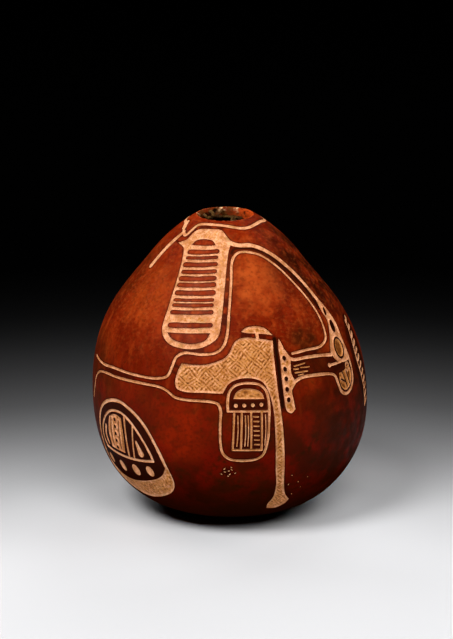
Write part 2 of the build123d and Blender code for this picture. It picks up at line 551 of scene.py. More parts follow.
def rounded(points, closed=False):
    """A round line through (degrees, millimetres) points, as flat points."""
    knots = flat(points)
    if closed:
        knots = np.vstack([knots[-1:], knots, knots[:2]])
    else:
        knots = np.vstack([2 * knots[0] - knots[1], knots, 2 * knots[-1] - knots[-2]])
    line = []
    for before, start, end, after in zip(knots, knots[1:], knots[2:], knots[3:]):
        runs = [sqrt(max(hypot(*step), 1e-6)) for step in (start - before, end - start, after - end)]
        leave = end - start + runs[1] * ((start - before) / runs[0] - (end - before) / (runs[0] + runs[1]))
        arrive = end - start + runs[1] * ((after - end) / runs[2] - (after - start) / (runs[1] + runs[2]))
        count = max(1, ceil(hypot(*(end - start)) * scale(start[1]) / OUTLINE_STEP))
        for step in range(count):
            t = step / count
            line.append((2 * t**3 - 3 * t**2 + 1) * start + (t**3 - 2 * t**2 + t) * leave
                        + (3 * t**2 - 2 * t**3) * end + (t**3 - t**2) * arrive)
    if not closed:
        line.append(knots[-2])
    return np.array(line)


def add_mark(ring, cut, hatch=None, stain=0.0, step=None, spine=None, tone=CLEAN):
    design.append({"ring": ring, "cut": cut, "hatch": hatch, "stain": stain, "step": step, "spine": spine,
                   "tone": tone})


def outline(*runs):
    """A closed ring of round runs. Each ends at the corner where the next one starts."""
    afters = runs[1:] + runs[:1]
    return np.vstack([rounded(run + after[:1])[:-1] for run, after in zip(runs, afters)])


def carve(*runs, hatch="stipple", tone=CLEAN):
    """A cleared area, its flesh left rough by the tool."""
    add_mark(outline(*runs), True, hatch=hatch, step=FILL_STEP, tone=tone)


def leave(*runs, stain=0.0):
    """Skin left standing inside a cleared area, or skin stained darker."""
    add_mark(outline(*runs), False, stain=stain, step=ISLAND_STEP)


def oval(centre, across, up, tilt=0):
    """A closed ring round a centre, with its sizes in millimetres and its tilt in degrees."""
    middle = flat([centre])[0]
    count = max(10, ceil(pi * (across + up) / 2 / OVAL_STEP))
    turns = np.linspace(0, 2 * pi, count, endpoint=False)
    x, y = across / 2 * np.cos(turns), up / 2 * np.sin(turns)
    swing = radians(tilt)
    ring = np.stack([x * cos(swing) + y * sin(swing), y * cos(swing) - x * sin(swing)], 1)
    return middle + ring / scale(middle[1])


def dot(centre, across, up=None, tilt=0, cut=True, stain=0.0):
    """A small cleared or uncleared oval."""
    up = up or across
    middle = flat([centre])
    add_mark(oval(centre, across, up, tilt), cut, stain=stain, spine=middle)


def wobble(line):
    """Cloudy values along a flat line, from -1 to 1, the same again half way round the gourd."""
    turns = 2 * line[:, 0] / FLAT_RADIUS
    return np.array([noise.noise(Vector((WOBBLE_ROUND * sin(turn), WOBBLE_ROUND * cos(turn), WOBBLE_UP * y)))
                     for turn, y in zip(turns, line[:, 1])])


def stroke(points, width, end_width=None, closed=False, cut=True, stain=0.0, tone=CLEAN):
    """One pass of the tool along a round line, with round ends."""
    line = rounded(points, closed)
    if closed:
        ahead, behind = np.roll(line, -1, axis=0), np.roll(line, 1, axis=0)
        along = ahead - behind
    else:
        along = np.gradient(line, axis=0)
    along /= np.hypot(*along.T)[:, None]
    widths = np.linspace(width, end_width or width, len(line))
    half = (widths / 2 * (1 + STROKE_WOBBLE * wobble(line)) / scale(line[:, 1]))[:, None]
    side = np.stack([-along[:, 1], along[:, 0]], 1)
    if closed:
        add_mark(line + side * half, cut, stain=stain, spine=line, tone=tone)
        add_mark(line - side * half, False, stain=stain, step=ISLAND_STEP)
        return
    turns = np.linspace(0, pi, 7)[1:-1, None]
    last = line[-1] + half[-1] * (side[-1] * np.cos(turns) + along[-1] * np.sin(turns))
    first = line[0] - half[0] * (side[0] * np.cos(turns) + along[0] * np.sin(turns))
    ring = np.vstack([line + side * half, last, (line - side * half)[::-1], first])
    add_mark(ring, cut, stain=stain, spine=line, tone=tone)


# ---------------------------------------------------------------- the engraved design
# The lists below trace one real engraving. Many of their numbers were converted from picked points,
# some digit for digit and others rounded or moved, so they aren't an example of how to draw an outline.
def neck_line():
    """The line round the neck, with a knot and a short stick hanging from it."""
    stroke([(-90, 207), (-86, 207), (-82, 207), (-78, 207), (-70, 205), (-60, 202.3), (-52, 201),
            (-49.5, 204), (-46, 208), (-38, 209.5), (-20, 210), (-5, 209.8), (10, 208.8), (25, 207.4),
            (38, 207.4), (52, 208.2), (70, 208.6), (86, 207.4), (94, 207), (98, 207), (102, 207),
            (106, 207)], 1.6)
    stroke([(-76, 207.4), (-68, 204.6)], 3.0, 2.6)
    stroke([(-60, 202.5), (-64.5, 193.5), (-68.5, 180)], 2.3, 2.8)


def ladder():
    """The tall panel, cleared but for its rungs of standing skin."""
    carve([(-54, 196), (-46, 198.8), (-43.5, 203), (-39, 205.7), (-22, 207), (-6, 206.8), (2, 203)],
          [(7, 199.6), (3.5, 194.5), (1.3, 186), (-0.6, 172), (-2.2, 158), (-4, 149.5), (-11, 144.4),
           (-20, 143.1), (-28, 145), (-32.4, 150), (-33.2, 162), (-34, 170), (-35.3, 179), (-38, 188),
           (-43, 194)], hatch="grain")
    rise = 1.7
    rungs = [(193.4, 2.4), (190.1, 1.5), (186.4, 2.2), (182.6, 1.8), (179.0, 2.3), (175.6, 2.2), (171.4, 2.3),
             (167.6, 1.5), (161.2, 2.0), (164.9, 1.7), (154.6, 2.2)]
    for height, thick in rungs:
        left = -30.6 - 0.13 * (height - 156)
        stroke([(left + 1.5, height - rise / 2), (-19, height), (-7.8, height + rise / 2)], thick + 0.5,
               cut=False)
    leave([(-36, 196.4), (-30, 196.6), (-18, 197)], [(-9.5, 197.6), (-14, 200.2), (-24, 200.8),
                                                     (-33, 199.4)])
    leave([(-29.5, 150), (-18, 150.8)], [(-7.6, 151.6), (-9.5, 148), (-14, 146), (-20, 145.6),
                                         (-26.5, 147.2)])


def long_arcs():
    """The bright arc from the ladder's head, and the thin line that runs beside it all the way round."""
    stroke([(2, 201), (6, 199), (14, 197.5), (27, 196.8), (36, 194.3), (44, 190.2), (51.4, 184),
            (57.3, 176.8), (60.8, 168.3), (62.3, 161.5), (64.3, 155.7)], 2.2)
    stroke([(-79, 126), (-68, 125.4), (-57, 126.4), (-42, 126.6), (-31, 127.3), (-26.2, 129.2),
            (-24.3, 134), (-22.8, 138.6), (-19.5, 141), (-11, 141), (-5, 142), (-1.5, 145), (0.4, 150),
            (2, 162), (4.3, 179), (5.4, 187.5), (8, 191.3), (12.5, 193.3), (19, 193.5), (27, 192.3),
            (33, 190.4), (39, 186.8), (45.5, 181), (50.6, 173.3), (54, 165), (55.5, 156), (54.8, 148.7),
            (52.5, 142.5), (47, 139.8), (38.3, 139.8), (30.5, 139.4)], 1.15, tone=0.16)
    stroke([(6, 193), (8.5, 195.2), (14, 195.7), (26, 194.9), (35, 192.3), (42.6, 188.2), (49.6, 182.2),
            (55, 175), (58.4, 166.5), (59.2, 157)], 0.9, cut=False, stain=0.9)


def capsule():
    """The thin line that drops into an arched capsule, and what the capsule holds."""
    stroke([(-79, 105), (-77, 110), (-74.8, 116.5), (-70, 120.6), (-63.5, 122.1), (-56, 122.5),
            (-47.5, 123), (-40, 123.4), (-29, 123.3), (-25.5, 121.8), (-22.5, 119.6), (-18, 118.9),
            (-12, 118.9), (-7, 118.7), (-4.3, 117.6), (-3.4, 114.5), (-3.8, 107.8), (-4, 98.5),
            (-3.2, 93.3), (-0.7, 90.4), (3, 89.5), (7, 89.4), (10.6, 90.1), (13, 92), (14.4, 96.1),
            (15.3, 101), (15.9, 108.5), (16.3, 114.5), (16.3, 120), (15.4, 124), (13, 126.6), (9.3, 127.5),
            (5.5, 127.4), (2.5, 126.2), (0.4, 123.3), (-0.4, 119), (-0.5, 114.4)], 1.15, tone=0.2)
    stroke([(-0.5, 114.4), (7, 114.2), (15.6, 113.7)], 1.0, tone=0.2)
    leave([(0.8, 119.4)], [(15.1, 118.8)], [(15.1, 115)], [(0.8, 115.5)], stain=0.8)
    carve([(2, 120.3)], [(14.6, 119.7), (14, 122), (12.2, 124), (8.9, 124.9), (5.2, 124.7), (3, 123)],
          hatch="scraped", tone=0.3)
    for degrees in (2.8, 6.2, 9.7, 13.2):
        dot((degrees, 117), 1.9)
    for degrees, foot in ((2, 0.8), (5, 4.1), (8.8, 8.2), (13.1, 12.5)):
        stroke([(degrees, 113.6), (foot, 95.3)], 0.9, tone=0.42)
    stroke([(0.8, 95.2), (12.5, 94.7)], 1.0, tone=0.42)
    for degrees, foot in ((3.4, 2.5), (6.4, 5.7), (7.5, 6.9), (14.6, 13.8)):
        stroke([(degrees, 112), (degrees / 2 + foot / 2 + 0.2, 104), (foot, 97)], 0.45, tone=0.5)
    for step in range(7):
        stroke([(9.7, 111.5 - 2.3 * step), (11.6, 111.3 - 2.3 * step)], 0.7, tone=0.42)


def great_shape():
    """The large hatched shape with its long leg, and the small cap that sits above it."""
    carve([(-20, 136), (-14, 135.8), (-8.5, 136.4), (-4, 138), (-0.5, 140), (1.5, 142.5), (3.2, 146),
           (5.5, 148.4), (9.7, 149.3), (16, 148.3)], [(22.3, 146.8), (21.4, 140.5), (20.9, 131),
                                                      (20.8, 121), (21.5, 108), (22.4, 89), (23.6, 75),
                                                      (26, 66.5)], [(29.8, 61), (29, 57), (24.3, 53.6)],
          [(19.3, 54.8), (18.8, 59), (20.3, 64.3), (20.2, 73), (18.8, 84), (18.4, 96), (18.3, 106),
           (18, 115), (16.9, 122), (14.6, 127.6), (10, 129.8), (4.5, 129.6), (0.5, 127.5)], [(-2.3, 122.8),
                                                                                             (-10, 122.9),
                                                                                             (-18, 122.7),
                                                                                             (-21.5, 123.8),
                                                                                             (-22.4, 126),
                                                                                             (-21.8, 131)],
          hatch="basket")
    carve([(7.6, 152.2), (10, 154), (15, 154.6), (19.6, 153.2)], [(22.9, 149.4), (19, 150.4), (15.3, 150.9),
                                                                  (10, 151.5)])
    stroke([(15.1, 151.2), (15.1, 148.2)], 1.5)
    # Painted shade: a near-black strip of skin between the big hatched shape and the dotted column
    stroke([(23.4, 147.5), (22.7, 139), (22.2, 127), (22.1, 115)], 1.2, cut=False, stain=1.0)


def arm():
    """The dotted column, the arm that leaves it, and the chain and drop at the arm's end."""
    drop = [(63.5, 118), (60.5, 114.8), (56.5, 113.8), (53.2, 116), (52, 120)]
    leave([(27, 136.5), (37, 136)], [(52, 134), (60, 131.5)], [(65, 129), (60.5, 126.5), (56, 126),
                                                               (52.5, 125.5), (47.5, 126), (40, 127.2),
                                                               (33, 127.5), (27, 125)], stain=0.66)
    leave([(52.5, 126)], [(65, 129), (65, 122.5)] + drop, stain=0.25)
    carve([(61.8, 163.5), (59.9, 155.5), (60.2, 150), (57, 144), (53.6, 138.5)], [(52.2, 134.8),
                                                                                  (54.5, 131), (59, 128.8)],
          [(65, 128.5), (65, 138), (66.8, 147.5), (65.8, 153.6)], hatch="grain")
    dot((62.5, 154.6), 2.1, 4.8, tilt=25, cut=False, stain=1.0)
    dot((62.2, 146.6), 3.6, 6.6, tilt=15, cut=False, stain=1.0)
    add_mark(oval((59.8, 136), 8.4, 11, 12), False, stain=1.0, step=ISLAND_STEP)
    add_mark(oval((59.8, 136), 6.2, 8.8, 12), True, hatch="dark", step=FILL_STEP, tone=0.55)
    for first, last, width in (((30, 133.4), (35.5, 133.9), 0.6), ((29.6, 132), (31.6, 131.8), 0.8),
                               ((33, 132.2), (37.4, 131.8), 0.6), ((29.8, 130.2), (36, 130), 0.7),
                               ((31.2, 128.8), (33.6, 128.9), 0.5)):
        stroke([first, last], width, tone=0.6)
    carve([(54, 124.6), (58, 125)], [(62.8, 126.6), (63.6, 122), (62, 118.4), (59.8, 116.4), (56.6, 115.6),
                                     (54.3, 117.4), (53.4, 120.6)], hatch="dark", tone=0.45)
    for first, last in (((56.4, 124.6), (58.2, 117)), ((59.6, 124), (60.6, 118)),
                        ((54.6, 121.6), (57.2, 119.6))):
        stroke([first, last], 0.9, cut=False, stain=1.0)
    stroke([(63.9, 158.5), (65.9, 149), (65, 141), (64.8, 135), (65.1, 129),
            (64.9, 122.5)] + drop + [(50.8, 124.3), (47.5, 126), (40, 127.2), (33, 127.5), (29, 126),
                                     (27, 123.5)], 1.5)
    carve([(25.5, 147.4), (24.3, 143), (24, 137), (23.3, 130), (23.1, 121)], [(23.2, 115.5), (23.9, 112.6),
                                                                              (25.8, 111.4)], [(27.6, 113),
                                                                                               (27.2, 118),
                                                                                               (27, 122)],
          [(29, 126.4), (28, 131)], [(29, 137), (27.2, 140), (26.6, 144)])
    stroke([(26.6, 141.5), (29.2, 137), (37, 136.4), (44, 135.8), (52.4, 134.3)], 1.5)
    for degrees, height in ((26, 137.8), (25.4, 132.6), (25.2, 128), (24.9, 123), (25, 118)):
        dot((degrees, height), 2.0, 2.5, cut=False, stain=1.0)
    stroke([(49.4, 129.8), (57.6, 129.4)], 1.1)
    dot((49, 129.9), 2.2)
    stroke([(62.9, 126.4), (62.3, 127.8), (60.8, 127.4), (60.2, 125.2), (61.2, 123.8), (62.6, 124.6)], 1.0)


def side_chain():
    """The toothed line down the side, between the two halves of the design."""
    leave([(80, 147), (86, 145), (84, 133), (82.5, 122), (85, 112)], [(83, 99.5), (77, 98.5), (74, 105),
                                                                      (72.6, 113), (70.5, 121), (69.6, 128),
                                                                      (71, 135), (73.6, 141)], stain=0.8)
    line = [(79.8, 144.5), (77.8, 139.5), (75.4, 134), (73.9, 129), (73.6, 124), (75, 117.5), (76.4, 111),
            (76.6, 101)]
    stroke(line, 1.1, tone=0.3)
    for tooth in range(SIDE_TEETH):
        up = line[0][1] - 1 - (line[0][1] - line[-1][1] - 2) * tooth / (SIDE_TEETH - 1)
        degrees = np.interp(-up, [-height for _, height in line], [across for across, _ in line])
        stroke([(degrees, up), (degrees + 2.2, up + 0.5), (degrees + 4.4, up + 1.6)], 1.0, 2.1, tone=0.0)


def eye_shape():
    """The leaning oval at the left, with its bars, its seeds and its pale foot."""
    below = [(-26.6, 73), (-29, 67.8), (-34.5, 63.6), (-42, 60.2), (-48.5, 58.9), (-55, 60), (-61, 63),
             (-66.5, 68)]
    ring = [(-69.5, 98.5), (-67.3, 103), (-64, 106.5), (-59.5, 109.3), (-55, 110.8), (-50.3, 111),
            (-46, 109.5), (-42, 107.3), (-38.2, 104), (-35, 99.5), (-32.5, 94.6), (-30.3, 89.2),
            (-28.5, 83.5), (-27, 78)]
    ring += below + [(-70, 76), (-71.3, 86), (-70.8, 93)]
    stroke(ring, 1.6, closed=True, stain=0.85, tone=0.0)
    carve([(-69, 75.5), (-65, 71.5), (-60, 69.4), (-53.5, 68.7), (-46, 70), (-39.5, 72.2), (-34.6, 74.5),
           (-31, 77.6)], [(-28, 84)] + below)
    stroke([(-65.6, 83.8), (-67.6, 88.5), (-66.6, 94.4), (-63.3, 100.2), (-59, 104.1), (-55.2, 105.6),
            (-50.9, 105.8), (-47, 104.2), (-43.4, 101.3), (-40.2, 97.5), (-37.3, 92.8), (-35.2, 88.2),
            (-34.3, 84.9)], 1.3, tone=0.0)
    stroke([(-34.3, 84.9), (-40, 83.7), (-46, 83.1), (-52, 82.9), (-58, 83.1), (-65.6, 83.8)], 1.3,
           tone=0.0)
    stroke([(-48.7, 104.3), (-48.2, 94), (-47.9, 83.7)], 1.1)
    stroke([(-43.8, 101), (-44.3, 92), (-44.7, 84.3)], 0.9)
    stroke([(-42.4, 93.4), (-40.3, 87.4)], 1.0, 3.4, tone=0.0)
    stroke([(-63.2, 95.5), (-64.2, 90.5), (-62.8, 86.4)], 1.5, tone=0.0)
    carve([(-59.6, 101.6), (-61, 94)], [(-60, 85.4)], [(-50.4, 85), (-50, 94)], [(-50.8, 103),
                                                                                 (-55, 103.8)],
          hatch="worn")
    for side in (-1, 1):
        stroke([(-55.4 + 2.7 * side, 101.2), (-55.6 + 2.9 * side, 94), (-55.4 + 2.7 * side, 86.8)], 0.7,
               cut=False, stain=1.0)
    for step in range(5):
        dot((-55.4, 101 - 3.6 * step), 2.0, cut=False, stain=1.0)
    for degrees, height, across, up in ((-65, 77.5, 3.8, 5.4), (-55.4, 76.2, 4.2, 6.2),
                                        (-45.8, 76.8, 4.8, 6.4), (-37.2, 78.4, 4.2, 6.0)):
        dot((degrees, height), across, up, tilt=-22)


def scuffs():
    """Old knocks low on the belly, scattered like specks."""
    for degrees, up, count, reach in ((-1.2, 83, 9, 1.1), (31, 72, 6, 3.2)):
        for number in range(count):
            away = reach * sqrt(number + 0.3)
            place = (degrees + away * sin(2.4 * number), up + away * cos(2.4 * number))
            tail = (place[0] + 0.5 * sin(3.1 * number + up), place[1] + 0.6 * cos(1.7 * number + up))
            stroke([place, tail], 0.42, tone=0.3)


neck_line()
ladder()
long_arcs()
great_shape()
capsule()
arm()
side_chain()
eye_shape()
scuffs()


def turned(mark, degrees):
    """The same mark further round the gourd."""
    way = np.array([radians(degrees) * FLAT_RADIUS, 0])
    spine = mark["spine"] if mark["spine"] is None else mark["spine"] + way
    return {**mark, "ring": mark["ring"] + way, "spine": spine}


marks = design + [turned(mark, 180) for mark in design]


# ---------------------------------------------------------------- cutting the flat skin into triangles
def inside(points, ring):
    """Which points lie inside a ring, even one that crosses itself."""
    order = np.argsort(points[:, 1])
    x, y = points[order].T
    turns = np.zeros(len(points), int)
    for (x0, y0), (x1, y1) in zip(ring, np.roll(ring, -1, axis=0)):
        first, last = np.searchsorted(y, [min(y0, y1), max(y0, y1)])
        if first < last:
            crossing = x0 + (y[first:last] - y0) * (x1 - x0) / (y1 - y0)
            turns[first:last] += np.where(x[first:last] < crossing, 1 if y1 > y0 else -1, 0)
    found = np.zeros(len(points), bool)
    found[order] = turns != 0
    return found


def owners(points):
    """The last mark drawn over each point, or -1 where the skin was never touched."""
    owner = np.full(len(points), -1)
    for index, mark in enumerate(marks):
        low, high = mark["ring"].min(axis=0), mark["ring"].max(axis=0)
        near = np.flatnonzero(((points >= low) & (points <= high)).all(axis=1))
        if len(near):
            owner[near[inside(points[near], mark["ring"])]] = index
    return owner


def staggered(low, high, step):
    """Staggered points over a flat box, a step of millimetres apart on the skin."""
    rows = []
    height, shifted = low[1], False
    while height < high[1]:
        gap = step / scale(height)
        across = np.arange(low[0] + gap * (0.5 if shifted else 0.0), high[0], gap)
        rows.append(np.stack([across, np.full(len(across), height)], 1))
        height += gap * sqrt(3) / 2
        shifted = not shifted
    return np.vstack(rows)


def rim_height(degrees):
    """How far up the skin it is broken off, all round the hole."""
    way = radians(degrees)
    near = (0.5 + 0.5 * cos(way)) ** 2
    coarse = noise.noise(Vector((3 * sin(way), 3 * cos(way), 4.0)))
    fine = noise.noise(Vector((11 * sin(way), 11 * cos(way), 9.0)))
    return SKIN_END - 0.15 - NEAR_DIP * near - CHIP * max(0, coarse) - 0.35 * CHIP * max(0, fine)


def border_lines():
    """The flat skin's four edges: foot, rim, and the seam's two sides with the same heights."""
    left, right = radians(SEAM) * FLAT_RADIUS, radians(SEAM + 360) * FLAT_RADIUS
    columns = [SEAM + 360 * step / RIM_COLUMNS for step in range(RIM_COLUMNS + 1)]
    rim = flat([(degrees, rim_height(degrees)) for degrees in columns])
    foot = np.stack([np.linspace(left, right, FOOT_COLUMNS + 1), np.zeros(FOOT_COLUMNS + 1)], 1)
    heights = [0.0]
    while heights[-1] < rim[0, 1] - 1.2 * SKIN_STEP / scale(rim[0, 1]):
        heights.append(heights[-1] + SKIN_STEP / scale(heights[-1]))
    heights = np.array(heights[1:])
    return foot, rim, np.stack([np.full(len(heights), left), heights], 1), np.stack(
        [np.full(len(heights), right), heights], 1)


def search_tree(points):
    """A tree that finds the nearest of some points, flat or in space."""
    tree = kdtree.KDTree(len(points))
    for index, point in enumerate(points):
        tree.insert((*point, 0)[:3], index)
    tree.balance()
    return tree


def crowd_out(points, room, tree):
    """The points that stand clear of every drawn line, by room in millimetres."""
    clear = []
    for index, (x, y) in enumerate(points):
        if tree.find((x, y, 0))[2] * scale(y) > room:
            clear.append(index)
    return points[clear]


def lay_out():
    """Cuts the flat skin into triangles, along every drawn line."""
    foot, rim, left, right = border_lines()
    border = np.vstack([foot, right, rim[::-1], left[::-1]])
    lines = [border] + [mark["ring"] for mark in marks]
    corners = np.vstack(lines)
    middles = np.vstack([(line + np.roll(line, -1, axis=0)) / 2 for line in lines])
    tree = search_tree(np.vstack([corners, middles]))

    edges = []
    start = 0
    for line in lines:
        edges += [(start + step, start + (step + 1) % len(line)) for step in range(len(line))]
        start += len(line)

    grid = staggered(foot[0] + 0.5, rim.max(axis=0), SKIN_STEP)
    grid = grid[owners(grid) == -1]
    fills = [crowd_out(grid, 0.5 * SKIN_STEP, tree)]
    for index, mark in enumerate(marks):
        if mark["step"]:
            grid = staggered(mark["ring"].min(axis=0), mark["ring"].max(axis=0), mark["step"])
            room = 0.55 * mark["step"]
        else:
            grid, room = mark["spine"], 0.24
        grid = grid[owners(grid) == index]
        if len(grid):
            fills.append(crowd_out(grid, room, tree))
    everything = np.vstack([corners] + fills)
    triangles = delaunay_2d_cdt([Vector(point) for point in everything], edges, [], 0, 1e-4, False)
    points = np.array([tuple(point) for point in triangles[0]])
    faces = np.array(triangles[2])
    centres = points[faces].mean(axis=1)
    kept = (centres[:, 0] > left[0, 0]) & (centres[:, 0] < right[0, 0]) & (centres[:, 1] > 0)
    kept &= centres[:, 1] < np.interp(centres[:, 0], rim[:, 0], rim[:, 1])
    return points, faces[kept], owners(centres[kept]), foot, rim


def hatching(style, degrees, up):
    """How much rind a kind of hatching leaves: 0 is clean flesh, 1 is brown. It may run past both ends."""
    middle, swing, specks = HATCHES[style]
    across = radians(degrees) * HATCH_RADIUS
    speck = noise.noise(Vector((across, up, 3.0)) * 1.1)
    bend = noise.noise(Vector((across, up, 0)) * 0.15) * 4
    along = across + 0.2 * up + bend
    if style == "basket":
        shift = 0.35 * bend
        row, column = (up + shift) // BASKET_CELL, (across - shift) // BASKET_CELL
        way = 1 if (row + column) % 2 else -1
        along = up + way * across + shift
    return middle + swing * sin(2 * pi * along / HATCH_PITCH) + specks * speck


def carve_skin(points, faces, owner):
    """Places, tool marks, stains and painted shade, and distances from the cuts of every flat skin point."""
    surface = skin_places(points, 0)
    is_cut = np.array([mark["cut"] for mark in marks] + [False])
    face_cut = is_cut[owner]
    touches_cut = np.zeros(len(points), bool)
    touches_skin = np.zeros(len(points), bool)
    touches_cut[faces[face_cut]] = True
    touches_skin[faces[~face_cut]] = True
    lip = np.flatnonzero(touches_cut & touches_skin)
    tree = search_tree(surface[lip])

    point_owner = np.full(len(points), -1)
    point_owner[faces[face_cut]] = owner[face_cut][:, None]
    stains = np.array([mark["stain"] for mark in marks] + [0.0])
    stain = np.zeros(len(points))
    for corner in range(3):
        np.maximum.at(stain, faces[~face_cut][:, corner], stains[owner[~face_cut]])

    edge = np.zeros(len(points))
    mark_value = np.zeros(len(points))
    depth = np.zeros(len(points))
    up = np.interp(points[:, 1], flat_table, up_table)
    degrees = np.degrees(points[:, 0] / FLAT_RADIUS)
    for index in np.flatnonzero(touches_cut | touches_skin):
        away = tree.find(surface[index])[2]
        if touches_skin[index]:
            edge[index] = min(away, 4.0)
            mark_value[index] = LIP_MARK
            continue
        style, tone = marks[point_owner[index]]["hatch"], marks[point_owner[index]]["tone"]
        sunk = min(1, away / CUT_SLOPE)
        if style and away > CLEAN_BORDER:
            full = min(1, (away - CLEAN_BORDER) / 0.4)
            rind = min(1, max(CLEAN, hatching(style, degrees[index] % 180, up[index])))
            mark_value[index] = tone + (rind - tone) * full
            depth[index] = CUT_DEPTH * sunk - HATCH_DEPTH * rind * full
        else:
            mark_value[index] = tone
            depth[index] = CUT_DEPTH * sunk
    return skin_places(points, depth), edge, mark_value, stain, face_cut


# ---------------------------------------------------------------- the shell as one closed mesh
class Shell:
    """Points, faces and their values, gathered ring by ring."""

    def __init__(self):
        self.places, self.faces, self.paints = [], [], []
        self.values = {"edge": [], "mark": [], "stain": []}

    def add_points(self, places, edge=4.0, mark=0.0, stain=0.0):
        start = len(self.places)
        self.places += [tuple(place) for place in places]
        for name, value in (("edge", edge), ("mark", mark), ("stain", stain)):
            self.values[name] += list(np.broadcast_to(value, len(places)))
        return list(range(start, len(self.places)))

    def add_faces(self, faces, paint):
        self.faces += [tuple(face) for face in faces]
        self.paints += list(np.broadcast_to(paint, len(faces)))

    def bridge(self, first, second, paint):
        """Faces between two rings with as many points."""
        count = len(second)
        after = first[1:] + (first[:1] if len(first) == count else [])
        self.add_faces([(first[i], after[i], second[(i + 1) % count], second[i]) for i in range(count)],
                       paint)

    def grow(self, ring, places, paint, **values):
        """A new ring of places, joined to the last one."""
        new = self.add_points(places, **values)
        self.bridge(ring, new, paint)
        return new

    def close(self, ring, place, paint):
        centre = self.add_points([place])[0]
        count = len(ring)
        self.add_faces([(ring[i], ring[(i + 1) % count], centre) for i in range(count)], paint)


SKIN_PAINT, FLESH_PAINT, BREAK_PAINT, PITH_PAINT = range(4)


def ring_places(columns, profile):
    """One ring of places from a (radius, height) for each column."""
    places = []
    for column in range(columns):
        way = radians(SEAM) + 2 * pi * column / columns
        radius, height = profile(way, column)
        places.append((radius * sin(way) + float(lean(height)), -radius * cos(way), height))
    return places


def rough(way, height, seed, size):
    return noise.noise(Vector((size * sin(way), size * cos(way), height * 0.6 + seed)))


def pit(way, height):
    """How far into a pit a place in the wall of the hole is, from 0 to 1."""
    deepest = 0
    for degrees, level, reach in PITS:
        across = (HOLE_RADIUS * (((way - radians(degrees)) + pi) % (2 * pi) - pi))
        away = hypot(across, height - level) / reach
        deepest = max(deepest, min(1, 1.6 - 1.6 * away))
    return deepest


def chipped(way):
    """How badly the edge of the hole is chipped in one direction, from 0 to 1."""
    worst = 0
    for degrees, half in CHIPS:
        away = abs(((way - radians(degrees)) + pi) % (2 * pi) - pi)
        worst = max(worst, min(1, 2 - 2 * away / radians(half)))
    return worst


def add_rim(shell, rim_ring, rim_flat):
    """The broken edge, the wall of the hole, and the cavity down to its floor."""
    radii = np.interp(rim_flat[:, 1], flat_table, radius_table)
    heights = np.interp(rim_flat[:, 1], flat_table, height_table)
    wall_end = cavity_knots[-1][1]
    shoulder = wall_end + 2.6
    ways = [radians(SEAM) + 2 * pi * column / RIM_COLUMNS for column in range(RIM_COLUMNS)]
    # Painted light: how red each column of the broken edge is painted, most on the right side
    painted_lit_reds = np.clip(1.6 * np.sin(ways) - 0.3, 0, 1)
    ring = rim_ring
    for inward, downward in BREAK_RINGS:
        def profile(way, column, inward=inward, downward=downward):
            jag = BREAK_ROUGH * rough(way, downward * 5, 2.0, 9) * (1 if inward > 0.2 else 0.5)
            radius = radii[column] + (HOLE_RADIUS + 0.2 - radii[column]) * inward
            height = heights[column] + (shoulder - heights[column]) * downward
            radius += PIT_DEPTH * inward * pit(way, height)
            return radius + jag, min(height + 1.2 * jag, BREAK_TOP)
        chips = [chipped(way) * (1 if inward < 0.5 else 0.3) for way in ways]
        # Painted shade: the pits are painted black through these values
        pits = [pit(way, profile(way, column)[1]) for column, way in enumerate(ways)]
        places = ring_places(RIM_COLUMNS, profile)
        ring = shell.grow(ring, places, BREAK_PAINT, edge=painted_lit_reds, mark=chips, stain=pits)
    for step in range(1, WALL_RINGS + 1):
        height = shoulder - 0.3 - (shoulder - 0.3 - wall_end) * step / WALL_RINGS

        def profile(way, column, height=height):
            jag = BREAK_ROUGH * rough(way, height, 5.0, 8)
            return HOLE_RADIUS + 0.25 + jag + PIT_DEPTH * pit(way, height), height
        # Painted shade: the pits are painted black through these values
        pits = [pit(way, height) for way in ways]
        ring = shell.grow(ring, ring_places(RIM_COLUMNS, profile), BREAK_PAINT, edge=painted_lit_reds, stain=pits)
    for step in range(1, CAVITY_RINGS + 1):
        along = CAVITY.length[-1] * (1 - step / CAVITY_RINGS)
        radius, height = CAVITY.at(along)

        def profile(way, column, radius=radius, height=height):
            return radius + 0.25 * (0.5 + 0.5 * rough(way, height, 7.0, 5)), height
        ring = shell.grow(ring, ring_places(RIM_COLUMNS, profile), PITH_PAINT)
    for radius in FLOOR_RADII:
        places = ring_places(RIM_COLUMNS, lambda way, column: (radius, FLOOR_OF_CAVITY))
        ring = shell.grow(ring, places, PITH_PAINT)
    shell.close(ring, (FOOT_SHIFT, 0, FLOOR_OF_CAVITY), PITH_PAINT)


def add_foot(shell, foot_ring):
    """The flat foot, with the small scar where the flower once was."""
    ring = foot_ring
    for radius, height, stain in FOOT_RINGS:
        def profile(way, column, radius=radius, height=height):
            return radius * (1 + 0.06 * rough(way, height, 3.0, 3)), height
        ring = shell.grow(ring, ring_places(FOOT_COLUMNS, profile), SKIN_PAINT, stain=stain)
    shell.close(ring, (FOOT_SHIFT, 0, SCAR_HEIGHT), SKIN_PAINT)


def nearest(points, goals):
    """Numbers of the flat points nearest to some flat goals."""
    tree = search_tree(points)
    return [tree.find((x, y, 0))[1] for x, y in goals]


def make_object(name, places, faces, materials, paints=None, values=None):
    """A mesh object in metres from places in millimetres."""
    mesh = bpy.data.meshes.new(name)
    mesh.from_pydata([Vector(place) * MM for place in places], [], faces)
    for material in materials:
        mesh.materials.append(material)
    if paints is not None:
        mesh.polygons.foreach_set("material_index", [int(paint) for paint in paints])
    for value_name, numbers in (values or {}).items():
        layer = mesh.attributes.new(value_name, "FLOAT", "POINT")
        layer.data.foreach_set("value", [float(number) for number in numbers])
    piece = bpy.data.objects.new(name, mesh)
    bpy.context.scene.collection.objects.link(piece)
    return piece


